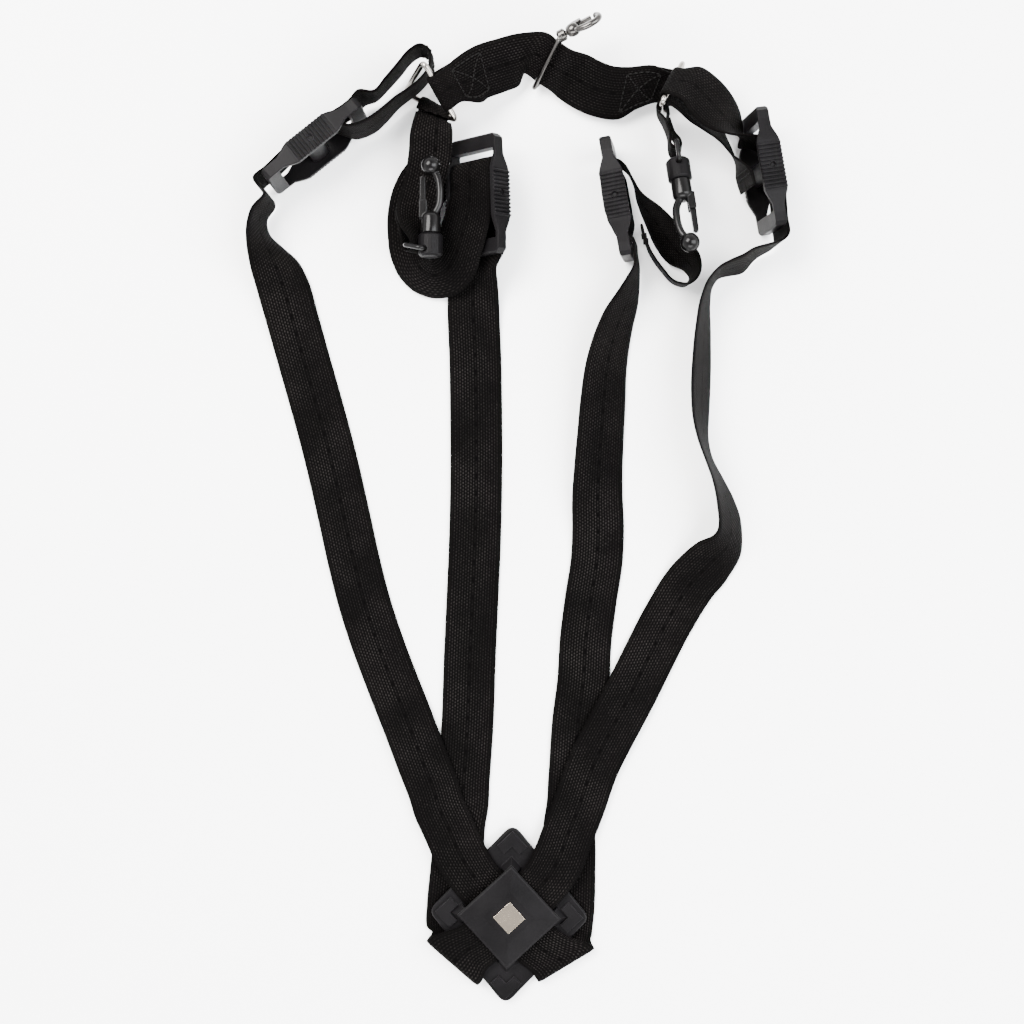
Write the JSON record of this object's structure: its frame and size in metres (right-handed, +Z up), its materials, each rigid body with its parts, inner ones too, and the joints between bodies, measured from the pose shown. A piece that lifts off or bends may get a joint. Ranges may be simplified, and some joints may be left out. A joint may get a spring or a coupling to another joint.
{
  "type": "instrument harness",
  "caption": "Body harness of crossing webbing straps with a square back plate, strap adjusters, triangular rings, plastic snap hooks and a sliding metal hook, lying on its back.",
  "frame": {"origin": "middle of the whole outline, at the surface the harness lies on", "axes": "+Y from the back plate towards the front cross strap, +X towards the right-hand side seen from above, +Z up from the surface"},
  "size_m": [0.254, 0.4664, 0.0365],
  "materials": {
    "webbing": "matte woven",
    "plastic": "fine moulded texture",
    "gloss_plastic": "gloss moulded",
    "nickel": "polished nickel plate"
  },
  "bodies": {
    "harness": {"back_base_plate": "plastic", "back_cover_plate": "plastic", "badge": "nickel", "cover_screw_1": "nickel", "cover_screw_2": "nickel", "cover_screw_3": "nickel", "cover_screw_4": "nickel", "cross_strap": "webbing", "crossing_strap_lower": "webbing", "crossing_strap_upper": "webbing", "left_bail": "gloss_plastic", "left_front_loop": "webbing", "left_hook_cap": "plastic", "left_ring": "nickel", "left_shoulder_adjuster": "plastic", "left_shoulder_cam_pin": "plastic", "left_shoulder_strap": "webbing", "left_tab": "webbing", "left_underarm_adjuster": "plastic", "left_underarm_cam_pin": "plastic", "left_underarm_loop": "webbing", "left_underarm_strap": "webbing", "right_bail": "gloss_plastic", "right_front_loop": "webbing", "right_hook_cap": "plastic", "right_ring": "nickel", "right_shoulder_adjuster": "plastic", "right_shoulder_cam_pin": "plastic", "right_shoulder_strap": "webbing", "right_tab": "webbing", "right_underarm_adjuster": "plastic", "right_underarm_cam_pin": "plastic", "right_underarm_loop": "webbing", "right_underarm_strap": "webbing"},
    "left_shoulder_cam_body": {"left_shoulder_cam": "plastic"},
    "right_shoulder_cam_body": {"right_shoulder_cam": "plastic"},
    "left_underarm_cam_body": {"left_underarm_cam": "plastic"},
    "right_underarm_cam_body": {"right_underarm_cam": "plastic"},
    "left_hook": {"left_hook_body": "gloss_plastic", "left_hook_gate_pin": "nickel"},
    "left_gate": {"left_hook_gate": "gloss_plastic"},
    "right_hook": {"right_hook_body": "gloss_plastic", "right_hook_gate_pin": "nickel"},
    "right_gate": {"right_hook_gate": "gloss_plastic"},
    "slider": {"slider_loop": "nickel"},
    "clip": {"clip_hook": "nickel", "clip_lever_pin": "nickel"},
    "lever": {"clip_lever": "nickel"}
  },
  "joints": [
    {"name": "left_shoulder_cam_turn", "type": "hinge", "parent": "harness", "child": "left_shoulder_cam_body", "pos_m": [-0.09453, 0.17272, 0.0167], "axis": [-0.0434, 0.0546, 0.9976], "range_deg": [-20, 20]},
    {"name": "right_shoulder_cam_turn", "type": "hinge", "parent": "harness", "child": "right_shoulder_cam_body", "pos_m": [0.11597, 0.16082, 0.0167], "axis": [0.1371, 0.0237, 0.9903], "range_deg": [-20, 20]},
    {"name": "left_underarm_cam_turn", "type": "hinge", "parent": "harness", "child": "left_underarm_cam_body", "pos_m": [-0.01843, 0.14932, 0.0152], "axis": [-0.7427, -0.0259, -0.6691], "range_deg": [-20, 20]},
    {"name": "right_underarm_cam_turn", "type": "hinge", "parent": "harness", "child": "right_underarm_cam_body", "pos_m": [0.04727, 0.14762, 0.0167], "axis": [-0.1369, -0.0249, 0.9903], "range_deg": [-20, 20]},
    {"name": "left_hook_swivel", "type": "hinge", "parent": "harness", "child": "left_hook", "pos_m": [-0.04013, 0.11922, 0.025], "axis": [0, 1, 0], "continuous": true},
    {"name": "left_gate_open", "type": "hinge", "parent": "left_hook", "child": "left_gate", "pos_m": [-0.04373, 0.14342, 0.025], "axis": [0, 0, -1], "range_deg": [0, 15], "stiffness_Nm_per_rad": 0.004, "springref_deg": -17.19},
    {"name": "right_hook_swivel", "type": "hinge", "parent": "harness", "child": "right_hook", "pos_m": [0.07527, 0.16592, 0.0194], "axis": [0.1083, -0.9502, 0.2924], "continuous": true},
    {"name": "right_gate_open", "type": "hinge", "parent": "right_hook", "child": "right_gate", "pos_m": [0.08147, 0.14333, 0.02647], "axis": [0.0331, -0.2905, -0.9563], "range_deg": [0, 15], "stiffness_Nm_per_rad": 0.004, "springref_deg": -17.19},
    {"name": "slider_slide", "type": "slide", "parent": "harness", "child": "slider", "axis": [0.8387, -0.5446, 0], "range_m": [-0.003, 0.005]},
    {"name": "clip_swivel", "type": "hinge", "parent": "slider", "child": "clip", "pos_m": [0.02097, 0.22252, 0.0256], "axis": [0.89, 0.4341, 0.1392], "continuous": true},
    {"name": "clip_lever_open", "type": "hinge", "parent": "clip", "child": "lever", "pos_m": [0.02933, 0.22813, 0.02502], "axis": [0.4308, -0.7013, -0.568], "range_deg": [0, 20], "stiffness_Nm_per_rad": 0.003, "springref_deg": -17.19}
  ]
}
